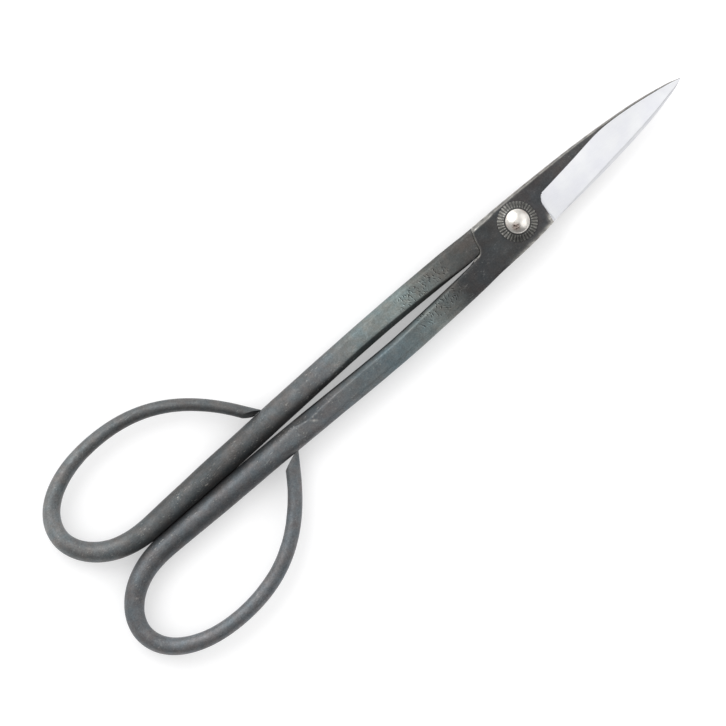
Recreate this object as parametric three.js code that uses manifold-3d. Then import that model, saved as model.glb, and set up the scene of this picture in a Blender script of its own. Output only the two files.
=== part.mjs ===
// Long-handled floral snips: two forged halves that turn on one rivet, with a washer
// under each rivet head.
//
// Millimetres. +X runs from the pivot to the blade tips, +Z is up, and the snips lie flat.
// The origin is on the rivet's axis, on the small flat face of its tail, which is the
// lowest point. The blades are closed. One half is drawn with its plate above the lap
// plane and its handle at -Y; the other is the same forging turned over about X.

import * as THREE from 'three';
import { mergeVertices } from 'three/addons/utils/BufferGeometryUtils.js';
import Module from 'manifold-3d';

const wasm = await Module();
wasm.setup();

// ---- Driving dimensions -------------------------------------------------------------

const BLADE_REACH = 58.7; // pivot to blade tip
const BOW_REACH = 149.0; // pivot to the far end of the finger bow's centre line
const BLADE_START = 6; // where the ground blade begins, inside the plate
const PLATE_TOP = 3.5; // outer face of a plate above the lap plane
const LAP_CLEARANCE = 0.05; // from the lap plane to the inner face of each half
const TIP_THICKNESS = 1.0;
const EDGE_THICKNESS = 0.3;
const PLATE_ARC = 12.6; // round end of a plate, about the pivot
const SHOULDER_ARC = 12.9; // shoulder of the other half, which the plate turns in

const RIVET_RADIUS = 2.2;
const BORE_RADIUS = 2.26;
const DOME_RADIUS = 3.3;
const DOME_HEIGHT = 1.8;
const WASHER_RADIUS = 5.55;
const WASHER_THICKNESS = 1.2;
const WASHER_FLUTES = 36;
const FLUTE_DEPTH = 0.35;
const SEAT_CLEARANCE = 0.05; // between a washer and what it sits on
const TAIL_RADIUS = 2.9;
const TAIL_HEIGHT = 0.75;
const TAIL_FLAT_RADIUS = 2.3;

const ROUND_SEGMENTS = 40;
const ROD_SIDES = 16;
const ROD_STEPS = 52;

const HEAD_SEAT = PLATE_TOP + 2 * SEAT_CLEARANCE + WASHER_THICKNESS; // under a rivet head
const LAP_HEIGHT = HEAD_SEAT + TAIL_HEIGHT; // lap plane above the flat of the rivet's tail

// Blade outline: the back, the line where the grinding starts, and the cutting edge.
const bladeBack = smoothLine([[-10.7, 6.9], [8, 6.4], [27, 5.35], [43.2, 3.65], [54, 1.62],
  [BLADE_REACH, 0.2]]);
const grindLine = smoothLine([[5, 1.5], [10.8, 1.8], [32, 3.9], [43.2, 3.15], [54, 1.25],
  [BLADE_REACH, 0.05]]);
const cuttingEdge = smoothLine([[5, -6.6], [10.8, -6.1], [27, -4.5], [43.2, -2.8], [54, -1.1],
  [BLADE_REACH, -0.2]]);

// Centre line of the forged bar: shank, grip, then round the finger bow.
const shankLine = new THREE.CatmullRomCurve3(
  [[-8, -3.45], [-24, -4.15], [-48, -4.62], [-80, -4.0], [-104, -3.6], [-128, -3.25]].map(
    ([x, y]) => new THREE.Vector3(x, y, 0),
  ),
);
const bowCorners = [
  [[-128, -3.25], [-142.6, -2.95], [-BOW_REACH, -11.2], [-BOW_REACH, -16.9]],
  [[-BOW_REACH, -16.9], [-BOW_REACH, -25.5], [-138.7, -30.9], [-126, -30.9]],
  [[-126, -30.9], [-112.6, -30.9], [-100, -26.5], [-88.6, -9.0]],
];

// The bar along its centre line. squareness is the exponent of a superellipse:
// 2 is round, and a high number is nearly a rectangle.
const barStations = [
  { at: 0, width: 7.1, thickness: 7.0, squareness: 7 },
  { at: 28, width: 7.05, thickness: 7.0, squareness: 7 },
  { at: 54, width: 6.7, thickness: 6.9, squareness: 5 },
  { at: 76, width: 6.95, thickness: 6.9, squareness: 2.8 },
  { at: 92, width: 6.9, thickness: 6.9, squareness: 2 },
  { at: 122, width: 6.1, thickness: 6.2, squareness: 2 },
  { at: 146, width: 5.15, thickness: 5.4, squareness: 2 },
  { at: 174, width: 4.2, thickness: 4.4, squareness: 2 },
  { at: 216, width: 3.7, thickness: 3.8, squareness: 2 },
];

// The bow's free end is cut on a slant and just clears its own shank.
const bowCutPoint = new THREE.Vector3(-85.4, -7.75, 0);
const bowCutNormal = new THREE.Vector3(-0.31, 0.92, -0.25).normalize();

// ---- Shared geometry ----------------------------------------------------------------

function smoothLine(points) {
  return new THREE.SplineCurve(points.map(([x, y]) => new THREE.Vector2(x, y)));
}

/** Height of a left-to-right line at x. */
function heightAt(line, x) {
  const [first, last] = [line.getPoint(0), line.getPoint(1)];
  if (x <= first.x) return first.y;
  if (x >= last.x) return last.y;
  let low = 0;
  let high = 1;
  for (let step = 0; step < 30; step += 1) {
    const middle = (low + high) / 2;
    if (line.getPoint(middle).x < x) low = middle;
    else high = middle;
  }
  return line.getPoint(low).y;
}

/** A closed solid through rings of the same number of points, with flat ends. */
function loft(rings) {
  const sides = rings[0].length;
  const positions = rings.flat().flatMap((point) => point.toArray());
  const faces = [];
  for (let ring = 0; ring < rings.length - 1; ring += 1) {
    for (let side = 0; side < sides; side += 1) {
      const here = ring * sides + side;
      const next = ring * sides + ((side + 1) % sides);
      faces.push(here, next, next + sides, here, next + sides, here + sides);
    }
  }
  const lastRing = (rings.length - 1) * sides;
  for (let side = 1; side < sides - 1; side += 1) {
    faces.push(0, side + 1, side);
    faces.push(lastRing, lastRing + side, lastRing + side + 1);
  }
  const geometry = new THREE.BufferGeometry();
  geometry.setAttribute('position', new THREE.Float32BufferAttribute(positions, 3));
  geometry.setIndex(faces);
  return geometry;
}

function toSolid(geometry) {
  const bare = geometry.clone();
  bare.deleteAttribute('normal');
  bare.deleteAttribute('uv');
  const merged = mergeVertices(bare, 1e-4);
  return new wasm.Manifold(
    new wasm.Mesh({
      numProp: 3,
      vertProperties: merged.attributes.position.array,
      triVerts: Uint32Array.from(merged.index.array),
    }),
  );
}

function toGeometry(solid) {
  const mesh = solid.getMesh();
  const geometry = new THREE.BufferGeometry();
  geometry.setAttribute('position', new THREE.BufferAttribute(mesh.vertProperties, 3));
  geometry.setIndex(new THREE.BufferAttribute(mesh.triVerts, 1));
  geometry.computeVertexNormals();
  return geometry;
}

/** A disc or drum about the pivot axis, between two heights. */
function drum(radius, bottom, top, segments = ROUND_SEGMENTS) {
  const geometry = new THREE.CylinderGeometry(radius, radius, top - bottom, segments);
  geometry.rotateX(Math.PI / 2);
  geometry.translate(0, 0, (top + bottom) / 2);
  return geometry;
}

/** A turned piece about the pivot axis from [radius, height] points. */
function turned(points, segments) {
  const profile = points.map(([radius, height]) => new THREE.Vector2(radius, height));
  const geometry = new THREE.LatheGeometry(profile, segments);
  geometry.rotateX(Math.PI / 2);
  return geometry;
}

// ---- One forged half ----------------------------------------------------------------

/** Width, thickness and squareness of the bar at a distance along its centre line. */
function barAt(distance) {
  const next = barStations.findIndex((station) => station.at >= distance);
  if (next === 0) return barStations[0];
  if (next < 0) return barStations[barStations.length - 1];
  const [before, after] = [barStations[next - 1], barStations[next]];
  const share = (distance - before.at) / (after.at - before.at);
  const blend = (key) => THREE.MathUtils.lerp(before[key], after[key], share);
  return {
    width: blend('width'),
    thickness: blend('thickness'),
    squareness: blend('squareness'),
  };
}

/** One cross-section of the bar, as points round the centre point. */
function barRing(centre, tangent, { width, thickness, squareness }) {
  const across = new THREE.Vector3(-tangent.y, tangent.x, 0);
  const power = 2 / squareness;
  const reach = (value) => Math.sign(value) * Math.abs(value) ** power;
  return Array.from({ length: ROD_SIDES }, (_, side) => {
    const angle = (side / ROD_SIDES) * 2 * Math.PI;
    const point = centre.clone();
    point.addScaledVector(across, (reach(Math.cos(angle)) * width) / 2);
    point.z += (reach(Math.sin(angle)) * thickness) / 2;
    return point;
  });
}

/** Slides a ring along the bar until it lies on the slanted cut. */
function cutRing(ring, tangent) {
  const slope = tangent.dot(bowCutNormal);
  return ring.map((point) => {
    const short = bowCutPoint.clone().sub(point).dot(bowCutNormal) / slope;
    return point.clone().addScaledVector(tangent, short);
  });
}

function barSolid() {
  const centreLine = new THREE.CurvePath();
  centreLine.add(shankLine);
  for (const corners of bowCorners) {
    const points = corners.map(([x, y]) => new THREE.Vector3(x, y, 0));
    centreLine.add(new THREE.CubicBezierCurve3(...points));
  }
  const length = centreLine.getLength();
  const rings = [];
  for (let step = 0; step <= ROD_STEPS; step += 1) {
    const share = step / ROD_STEPS;
    const tangent = centreLine.getTangentAt(share);
    const ring = barRing(centreLine.getPointAt(share), tangent, barAt(share * length));
    rings.push(step === ROD_STEPS ? cutRing(ring, tangent) : ring);
  }
  return toSolid(loft(rings));
}

/** The flat plate round the pivot, from the round end to the heel of the grinding. */
function plateSolid() {
  const cornerY = 6.8;
  const cornerAngle = Math.PI - Math.asin(cornerY / PLATE_ARC);
  const innerAngle = Math.PI + 0.02;
  const outline = new THREE.Shape();
  outline.moveTo(PLATE_ARC * Math.cos(cornerAngle), cornerY);
  outline.absarc(0, 0, PLATE_ARC, cornerAngle, innerAngle, false);
  outline.lineTo(-14.5, -0.8);
  outline.lineTo(-14.5, -7.3);
  outline.lineTo(0, -6.95);
  outline.lineTo(7.9, -6.5);
  outline.lineTo(8.3, -0.6);
  outline.quadraticCurveTo(8.7, 1.7, 11, 1.9);
  outline.lineTo(11, heightAt(bladeBack, 11));
  outline.lineTo(0, heightAt(bladeBack, 0));
  const geometry = new THREE.ExtrudeGeometry(outline, {
    depth: PLATE_TOP - LAP_CLEARANCE,
    bevelEnabled: false,
    curveSegments: 12,
  });
  geometry.translate(0, 0, LAP_CLEARANCE);
  return toSolid(geometry);
}

/** The blade: flat on the lap side, ground on the outside from the grind line down. */
function bladeSolid() {
  const stations = [BLADE_START, 11, 16, 22, 28, 34, 40, 46, 51, 55, BLADE_REACH];
  const rings = stations.map((x) => {
    const share = THREE.MathUtils.clamp((x - 11) / (BLADE_REACH - 11), 0, 1);
    const top = THREE.MathUtils.lerp(PLATE_TOP, TIP_THICKNESS, share);
    const back = heightAt(bladeBack, x);
    const grind = heightAt(grindLine, x);
    const edge = heightAt(cuttingEdge, x);
    return [
      new THREE.Vector3(x, edge, LAP_CLEARANCE),
      new THREE.Vector3(x, back, LAP_CLEARANCE),
      new THREE.Vector3(x, back, top),
      new THREE.Vector3(x, grind, top),
      new THREE.Vector3(x, edge, EDGE_THICKNESS),
    ];
  });
  return toSolid(loft(rings));
}

function halfGeometry() {
  const shoulderCut = toSolid(drum(SHOULDER_ARC, -2 * PLATE_TOP, LAP_CLEARANCE, 96));
  const bore = toSolid(drum(BORE_RADIUS, -PLATE_TOP, 2 * PLATE_TOP));
  const half = barSolid().subtract(shoulderCut).add(plateSolid()).add(bladeSolid());
  return toGeometry(half.subtract(bore));
}

// ---- Rivet and washers --------------------------------------------------------------

/** The rivet: domed head above, shank through both plates, hammered tail below. */
function rivetGeometry() {
  const crown = Array.from({ length: 7 }, (_, step) => {
    const angle = (step / 6) * (Math.PI / 2);
    return [DOME_RADIUS * Math.cos(angle), HEAD_SEAT + DOME_HEIGHT * Math.sin(angle)];
  });
  crown[crown.length - 1][0] = 0;
  return turned(
    [
      [0, -LAP_HEIGHT],
      [TAIL_FLAT_RADIUS, -LAP_HEIGHT],
      [TAIL_RADIUS, -LAP_HEIGHT + 0.35],
      [TAIL_RADIUS, -HEAD_SEAT],
      [RIVET_RADIUS, -HEAD_SEAT],
      [RIVET_RADIUS, HEAD_SEAT],
      ...crown,
    ],
    ROUND_SEGMENTS,
  );
}

/** A washer with radial flutes round its rim, like a flower. It sits on a plate's face. */
function washerGeometry() {
  const seat = PLATE_TOP + SEAT_CLEARANCE;
  const profile = [
    [BORE_RADIUS, seat],
    [WASHER_RADIUS, seat],
    [WASHER_RADIUS, seat + 0.7],
    [WASHER_RADIUS - 0.6, seat + 1.05],
    [3.65, seat + WASHER_THICKNESS],
    [BORE_RADIUS, seat + WASHER_THICKNESS],
    [BORE_RADIUS, seat],
  ];
  const geometry = turned(profile, 2 * WASHER_FLUTES);
  const place = geometry.attributes.position;
  for (let index = 0; index < place.count; index += 1) {
    const [x, y, z] = [place.getX(index), place.getY(index), place.getZ(index)];
    const spoke = Math.round((Math.atan2(y, x) / Math.PI) * WASHER_FLUTES);
    const fluted = Math.hypot(x, y) > 4 && z > seat + 0.1 && spoke % 2 !== 0;
    if (fluted) place.setZ(index, z - FLUTE_DEPTH);
  }
  return geometry;
}

// ---- Assembly -----------------------------------------------------------------------

function metal(color, roughness, metalness) {
  return new THREE.MeshStandardMaterial({ color, roughness, metalness });
}

const forgedSteel = metal(0x4c504e, 0.55, 0.6);
const polishedSteel = metal(0xd8d6d2, 0.15, 1.0);
const washerSteel = metal(0x3b3d3b, 0.45, 0.7);

/** Adds one named mesh, drawn about the lap plane, and turned over about X if asked. */
function addPiece(parent, name, geometry, material, turnedOver = false) {
  const mesh = new THREE.Mesh(geometry, material);
  mesh.name = name;
  mesh.position.z = LAP_HEIGHT;
  mesh.rotation.x = turnedOver ? Math.PI : 0;
  parent.add(mesh);
}

const snips = new THREE.Group();
addPiece(snips, 'front_blade_and_handle', halfGeometry(), forgedSteel);
addPiece(snips, 'rear_blade_and_handle', halfGeometry(), forgedSteel, true);
addPiece(snips, 'pivot_rivet', rivetGeometry(), polishedSteel);
addPiece(snips, 'front_washer', washerGeometry(), washerSteel);
addPiece(snips, 'rear_washer', washerGeometry(), washerSteel, true);

export default snips;
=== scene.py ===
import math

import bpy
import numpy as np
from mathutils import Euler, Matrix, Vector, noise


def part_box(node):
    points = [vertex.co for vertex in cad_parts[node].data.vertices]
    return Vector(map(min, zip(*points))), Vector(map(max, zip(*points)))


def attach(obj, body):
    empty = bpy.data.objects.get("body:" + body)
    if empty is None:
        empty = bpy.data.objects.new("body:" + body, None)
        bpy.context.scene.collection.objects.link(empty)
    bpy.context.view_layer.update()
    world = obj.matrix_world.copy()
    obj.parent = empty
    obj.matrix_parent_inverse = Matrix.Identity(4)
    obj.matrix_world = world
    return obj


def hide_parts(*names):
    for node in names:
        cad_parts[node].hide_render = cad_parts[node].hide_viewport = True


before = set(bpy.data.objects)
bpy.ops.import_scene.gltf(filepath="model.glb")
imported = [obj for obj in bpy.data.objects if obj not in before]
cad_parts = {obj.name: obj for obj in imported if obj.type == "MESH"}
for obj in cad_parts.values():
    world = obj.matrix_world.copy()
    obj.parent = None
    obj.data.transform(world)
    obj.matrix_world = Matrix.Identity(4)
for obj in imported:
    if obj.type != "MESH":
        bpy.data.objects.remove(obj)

# Long-handled forged floral snips. Shapes are worked out in millimetres about the lap plane,
# where the two halves meet, with +X from the pivot to the blade tips, and are placed in the
# CAD frame in metres. One half is drawn, with its plate above the lap plane and its handle at
# -Y; the other is the same forging turned over about X.

MM = 0.001
SHARP_ANGLE = math.radians(30)

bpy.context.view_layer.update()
FRONT_LOW, FRONT_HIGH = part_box("front_blade_and_handle")
HEAD_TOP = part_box("pivot_rivet")[1].z / MM
LAP_HEIGHT = (FRONT_LOW.z + FRONT_HIGH.z) / 2 / MM
PLATE_TOP = (FRONT_HIGH.z - FRONT_LOW.z) / 2 / MM
BLADE_REACH = FRONT_HIGH.x / MM
WASHER_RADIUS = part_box("front_washer")[1].x / MM

# Plate, shoulder and blade. The plate's arc turns inside the other half's shoulder, and a
# fillet leads from it to the neck's side.
LAP_CLEARANCE = 0.05
PLATE_ARC = 12.6
SHOULDER_GAP = 0.09
CORNER_Y = 6.8
NECK_SIDE_Y = -0.12
NECK_TAPER = 0.6
NECK_FILLET = 2.0
FILLET_Y = NECK_SIDE_Y + NECK_FILLET
FILLET_X = -math.sqrt((PLATE_ARC + NECK_FILLET)**2 - FILLET_Y**2)
FILLET_END_X = FILLET_X * PLATE_ARC / (PLATE_ARC + NECK_FILLET)
FILLET_TURN = math.atan2(FILLET_Y, -FILLET_X)
BAR_OVERLAP_X = -18.6
HEEL_X = 8.0
FOOT_CHAMFER = 0.6
TIP_THICKNESS = 1.0
EDGE_THICKNESS = 0.16
STEEPEST_GRIND = 0.42
GRIND_START_X = 6.0

# Rivet and washers. Each washer has a flat crown round its bore and pressed flutes outside it.
BORE_RADIUS = 2.26
RIVET_RADIUS = 2.2
WASHER_THICKNESS = 1.2
SEAT_CLEARANCE = 0.05
FLUTES = 36
WASHER_SEAT = PLATE_TOP + SEAT_CLEARANCE
CROWN_RADIUS = 3.5
FLUTE_DEPTH = 0.42
SCALLOP_START = 5.3
SCALLOP_DEPTH = 0.12
HEAD_SEAT = PLATE_TOP + 2 * SEAT_CLEARANCE + WASHER_THICKNESS
DOME_RADIUS = 3.3
DOME_SLOPE = math.radians(43)
# Bearing toward which the flutes' ridges carry a painted highlight on top of their wear.
HIGHLIT_FLUTE_BEARING = math.radians(146)

# Where the scale is painted darkest and is barest, in each half's own frame: the painted dark
# line along the shank's inner edge, painted shade beside the shoulder, a worn heel, a nick in the
# grip.
EDGE_LINE_X = [-84, -78, -30, -22]
EDGE_LINE_WIDTH = 0.55
CROOK_X = [-26, -18]
CROOK_PAINTED_SHADE = 0.45
CROOK_WIDTH = 2.5
BOW_TOP_Y = -10.5
HEEL_SPOT = (7.5, -5.8)
NICK = (-76.4, -4.2)
# A distance that is out of reach of any wear.
FAR = 9.0


# ---- Lines and numbers along them ---------------------------------------------------


def smooth_line(points, per_span=60):
    """Points of a Catmull-Rom line through the given points."""
    p = np.array(points, float)
    p = np.vstack([2 * p[0] - p[1], p, 2 * p[-1] - p[-2]])
    t = np.linspace(0, 1, per_span, endpoint=False)[:, None]
    spans = []
    for a, b, c, d in zip(p[:-3], p[1:-2], p[2:-1], p[3:]):
        spans.append(
            0.5 * (2 * b + (c - a) * t + (2 * a - 5 * b + 4 * c - d) * t**2
                   + (3 * b - a - 3 * c + d) * t**3)
        )
    spans.append(p[-2:-1])
    return np.vstack(spans)


def bezier(corners, count=200):
    a, b, c, d = (np.array(corner, float) for corner in corners)
    t = np.linspace(0, 1, count, endpoint=False)[:, None]
    return (1 - t)**3 * a + 3 * (1 - t)**2 * t * b + 3 * (1 - t) * t**2 * c + t**3 * d


def along(line, x):
    """Second coordinate of a line at first coordinate x."""
    return np.interp(x, line[:, 0], line[:, 1])


def smoothstep(value):
    t = np.clip(value, 0, 1)
    return t * t * (3 - 2 * t)


BLADE_BACK = smooth_line([(-10.7, 6.9), (8, 6.4), (27, 5.35), (43.2, 3.65), (54, 1.62),
                          (BLADE_REACH, 0.2)])
GRIND_LINE = smooth_line([(5, 1.5), (10.8, 1.8), (21.6, 2.86), (33, 4.0), (43.2, 3.2),
                          (54, 1.3), (BLADE_REACH, 0.08)])
CUTTING_EDGE = smooth_line([(8, -6.45), (10.8, -6.15), (27, -4.5), (43.2, -2.8), (54, -1.1),
                            (BLADE_REACH, -0.2)])
PLATE_FOOT = smooth_line([(-20, -7.3), (-14, -7.22), (-8, -7.1), (0, -6.95), (8, -6.45)])
PLUNGE_TOP = smooth_line([(-6.6, 7.0), (-5.2, 7.3), (-4, 7.55), (-2, 7.85), (-0.6, 8.1),
                          (0.4, 8.6), (1.2, 9.3), (1.7, 10.4), (1.8, 10.9)])
BACK_CHAMFER = np.array([(-11, 1.0), (-5.5, 0.95), (-3.5, 0.6), (12, 0.55), (30, 0.42),
                         (44, 0.28), (BLADE_REACH, 0.06)])
PLUNGE_WIDTH = smooth_line([(-6.6, 1.2), (-4, 0.8), (-1, 0.4), (0.6, 0.25), (1.8, 0.15)])


# ---- The bar: shank, grip and finger bow --------------------------------------------

BOW_REACH = 149.0
SHANK = [(-8, -3.45), (-24, -4.15), (-48, -4.62), (-80, -3.99), (-92, -3.7), (-104, -3.52),
         (-128, -3.16)]
BOW = [
    [(-128, -3.16), (-142.6, -2.84), (-BOW_REACH, -11.2), (-BOW_REACH, -16.9)],
    [(-BOW_REACH, -16.9), (-BOW_REACH, -25.5), (-138.7, -30.9), (-126, -30.9)],
    [(-126, -30.9), (-112.6, -30.9), (-100, -26.5), (-88.6, -9.0)],
]
BOW_CUT_POINT = np.array([-86.4, -7.55, 0.0])
BOW_STOP_Y = -7.42
BOW_START = 150
# Each bar keeps to its own side of a plane that is nearly upright at the shoulder and slants
# further along (distance along the bar and slope), so the grips meet along narrow flats that
# no light shows between.
TOUCHING_Y = -0.02
TOUCHING_SLOPE = np.array([(8, 0.04), (20, 0.15)])

# Distance along the bar, width, thickness, and squareness (2 is round).
BAR_SIZES = np.array([
    (0, 7.1, 6.85, 30),
    (5, 7.15, 6.85, 30),
    (9, 7.3, 7.0, 30),
    (16, 7.2, 7.0, 30),
    (28, 7.0, 7.0, 28),
    (38, 6.85, 7.0, 24),
    (50, 6.9, 6.95, 18),
    (60, 7.0, 6.9, 9),
    (70, 7.1, 6.9, 4),
    (80, 7.15, 6.9, 2.3),
    (92, 7.15, 6.9, 2),
    (102, 7.1, 6.75, 2),
    (122, 6.45, 6.2, 2),
    (146, 5.15, 5.4, 2),
    (174, 4.2, 4.4, 2),
    (216, 3.7, 3.8, 2),
])
# Width of the filed flats, seen from above: distance along the bar and millimetres. The
# inner flat stops short on one half and fades out on the other.
INNER_FLAT_STOPPED = [(0, 0.0), (8, 0.15), (20, 1.0), (30, 1.3), (50, 1.5), (60, 1.8),
                      (66, 2.2), (70, 2.45), (74, 1.6), (220, 0.0)]
INNER_FLAT_FADED = [(0, 0.0), (8, 0.15), (20, 1.0), (30, 1.3), (46, 1.5), (56, 1.3),
                    (66, 0.8), (78, 0.0), (220, 0.0)]
OUTER_FLAT = np.array([(0, 0.6), (10, 0.75), (20, 1.2), (50, 1.3), (62, 1.3), (80, 0.5),
                       (220, 0.0)])
BAR_STEP = 0.6
BAR_SIDES = 112
FLAT_SHARPNESS = 40


class Hand:
    """How one half came off the anvil: its own unevenness, lean, bow and painted side shade and
    light.
    """

    def __init__(self, seed, bow_cut_normal, inner_flat, lean, bow_spread, rounds_sooner,
                 painted_side_lights, painted_edge_shade):
        self.seed = seed
        self.bow_cut_normal = np.array(bow_cut_normal)
        self.inner_flat = np.array(inner_flat)
        self.lean = smooth_line(lean)
        self.bow_spread = bow_spread
        self.rounds_sooner = rounds_sooner
        self.painted_side_lights = np.array(painted_side_lights)
        self.painted_edge_shade = painted_edge_shade

    def shift(self, x):
        """Sideways lean of the shank between the pivot and the grip."""
        return along(self.lean, x)

    def extra_width(self, at):
        return self.bow_spread * float(smoothstep((at - BOW_START) / 60))


# Painted side light: X, then the factor on the side toward the other half and away from it,
# against 1 on the top (below 1 painted shade). Painted edge shade: same for the inner lower edge.
FRONT_HAND = Hand(
    seed=0,
    bow_cut_normal=(-0.34, 0.92, -0.1),
    inner_flat=INNER_FLAT_STOPPED,
    lean=[(-84, 0), (-72, -0.12), (-60, -0.28), (-48, -0.42), (-34, -0.42), (-22, -0.4),
          (-15, -0.36), (-9, -0.41), (-3, -0.36), (3, -0.25), (8, -0.08), (12, 0)],
    bow_spread=0.33,
    rounds_sooner=0,
    painted_side_lights=[(-140, 1, 1), (-128, 0.37, 0.74), (-85, 0.4, 0.78), (-66, 1.15, 1.45),
                 (-30, 1.1, 1.4), (-16, 1.1, 1.4), (-11, 1, 1)],
    painted_edge_shade=0.04,
)
REAR_HAND = Hand(
    seed=40,
    bow_cut_normal=(-0.32, 0.86, -0.42),
    inner_flat=INNER_FLAT_FADED,
    lean=[(-84, 0), (-72, 0.1), (-60, 0.2), (-48, 0.36), (-34, 0.4), (-22, 0.39),
          (-15, 0.42), (-9, 0.26), (-3, 0.23), (3, 0.2), (8, 0.08), (12, 0)],
    bow_spread=-0.3,
    rounds_sooner=18,
    painted_side_lights=[(-140, 1, 1), (-128, 0.55, 0.85), (-85, 0.45, 0.8), (-70, 0.35, 0.7),
                 (-56, 0.3, 0.66), (-46, 0.3, 0.74), (-34, 0.3, 0.8), (-26, 0.3, 0.58),
                 (-16, 0.35, 0.7), (-11, 1, 1)],
    painted_edge_shade=1.0,
)


def bar_line(hand):
    """Centre points and tangents of the bar at even steps."""
    shank = smooth_line(SHANK)[:-1]
    line = np.vstack([shank, *(bezier(corners) for corners in BOW), [BOW[-1][-1]]])
    line[:len(shank), 1] += hand.shift(shank[:, 0])
    gone = np.concatenate([[0], np.cumsum(np.hypot(*np.diff(line, axis=0).T))])
    steps = int(gone[-1] / BAR_STEP)
    at = np.linspace(0, gone[-1], steps + 1)
    centre = np.column_stack([np.interp(at, gone, line[:, k]) for k in (0, 1)])
    tangent = np.gradient(centre, axis=0)
    tangent /= np.hypot(*tangent.T)[:, None]
    return at, centre, tangent


def section_radius(angle, width, thickness, squareness, inner_flat, outer_flat):
    """Radius of the bar's section at each angle. Angle 0 points away from the other half."""
    half_width, half_thickness = width / 2, thickness / 2
    facing = [(0, half_width), (math.pi, half_width),
              (math.pi / 2, half_thickness), (-math.pi / 2, half_thickness)]
    total = sum((np.maximum(0, np.cos(angle - turn)) / reach)**squareness
                for turn, reach in facing)
    radius = total**(-1 / squareness)
    total = radius**-FLAT_SHARPNESS
    for flat, turn in ((inner_flat, 0.75), (outer_flat, 0.25)):
        reach = (half_width + half_thickness - flat) / math.sqrt(2)
        for side in (1, -1):
            share = np.maximum(0, np.cos(angle - side * turn * math.pi)) / reach
            total = total + share**FLAT_SHARPNESS
    return total**(-1 / FLAT_SHARPNESS)


def forging_unevenness(at, angle, seed):
    """Small hollows and bumps that the hammer left, in millimetres."""
    soft = 0.25 + 0.75 * float(smoothstep((at - 20) / 50))
    away_from_neighbour = float(smoothstep((math.cos(angle) + 1) / 0.5))
    around = Vector((math.cos(angle), math.sin(angle), seed))
    broad = noise.noise(Vector((at * 0.11, 0, 4)) + around * 0.9)
    small = noise.noise(Vector((at * 0.42, 9, 0)) + around * 1.7)
    return soft * away_from_neighbour * (0.07 * broad + 0.03 * small)


def bar_shell(hand):
    """Vertices and faces of the whole bar, closed, with its slanted end cut."""
    distances, centres, tangents = bar_line(hand)
    angles = even_turns(BAR_SIDES)
    rings = []
    for at, centre, tangent in zip(distances, centres, tangents):
        width, thickness = [np.interp(at, BAR_SIZES[:, 0], BAR_SIZES[:, k]) for k in (1, 2)]
        squareness = np.interp(at + hand.rounds_sooner, BAR_SIZES[:, 0], BAR_SIZES[:, 3])
        width += hand.extra_width(at)
        flats = [np.interp(at, *table.T) for table in (hand.inner_flat, OUTER_FLAT)]
        radius = section_radius(angles, width, thickness, squareness, *flats)
        radius = radius + [forging_unevenness(at, angle, hand.seed) for angle in angles]
        outward = np.array([-tangent[1], tangent[0], 0])
        ring = np.zeros((BAR_SIDES, 3))
        ring[:, :2] = centre
        ring += np.outer(radius * np.cos(angles), outward)
        ring[:, 2] += radius * np.sin(angles)
        if at < BOW_START:
            slope = np.interp(at, *TOUCHING_SLOPE.T)
            ring[:, 1] = np.minimum(ring[:, 1], TOUCHING_Y + slope * ring[:, 2])
        rings.append(ring)
    return loft(end_on_cut(rings, np.append(tangents[-1], 0), hand.bow_cut_normal))


def end_on_cut(rings, tangent, cut_normal):
    """Slides the last rings along the bar to a slanted cut, just short of the shank."""
    last = rings[-1]
    short = (BOW_CUT_POINT - last) @ cut_normal / (tangent @ cut_normal)
    on_cut = last + np.outer(short, tangent)
    before = on_cut - 0.2 * tangent
    centre = on_cut.mean(axis=0)
    rim = centre + (on_cut - centre) * 0.97
    kept = rings[:-1]
    while ((kept[-1] - before) @ tangent).max() > 0:
        kept.pop()
    ending = [*kept, before, on_cut - 0.05 * tangent, rim]
    for ring in ending[-12:]:
        ring[:, 1] = np.minimum(ring[:, 1], BOW_STOP_Y)
    return ending


# ---- The plate and blade ------------------------------------------------------------


def plate_columns():
    """X of each column of the plate and blade, dense where the shape turns."""
    corner_turn = math.asin(CORNER_Y / PLATE_ARC)
    fillet_turns = np.linspace(0, math.pi / 2 - FILLET_TURN, 20)
    arc = -PLATE_ARC * np.cos(np.linspace(FILLET_TURN, corner_turn, 40))
    return np.concatenate([
        np.linspace(BAR_OVERLAP_X, FILLET_X, 10, endpoint=False),
        FILLET_X + NECK_FILLET * np.sin(fillet_turns),
        arc[1:],
        np.linspace(arc[-1], 6.6, 24)[1:],
        np.linspace(6.6, 11.2, 60)[1:],
        np.linspace(11.2, 50, 72)[1:],
        np.linspace(50, BLADE_REACH, 36)[1:],
    ])


def plate_span(x):
    """Lowest and highest Y of the plate or blade at x."""
    low = along(PLATE_FOOT, x) if x < HEEL_X else along(CUTTING_EDGE, x)
    if x < FILLET_X:
        into_bar = smoothstep((FILLET_X - x) / (FILLET_X - BAR_OVERLAP_X))
        return low, NECK_SIDE_Y - NECK_TAPER * float(into_bar)
    if x <= FILLET_END_X:
        return low, FILLET_Y - math.sqrt(NECK_FILLET**2 - (x - FILLET_X)**2)
    arc = math.sqrt(max(PLATE_ARC**2 - x**2, 0))
    if x < 0:
        return low, min(arc, along(BLADE_BACK, x))
    return low, along(BLADE_BACK, x)


def plate_rows(x):
    """Y of each row at x. Rows follow the foot, the grind line and the back's chamfer."""
    low, high = plate_span(x)
    width = high - low
    middle = low + 0.62 * width
    grind = along(GRIND_LINE, x)
    middle = middle + (grind - middle) * smoothstep((x + 6) / 10)
    chamfer = chamfer_width(x, high)
    inner = middle + 0.5 * (high - chamfer - middle)
    stops = [low, low + min(0.7, 0.12 * width), middle, inner, high - chamfer, high]
    counts = [5, 34, 8, 5, 7]
    rows = [np.linspace(a, b, n, endpoint=False) for a, b, n in zip(stops, stops[1:], counts)]
    return np.concatenate([*rows, [high]])


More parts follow.
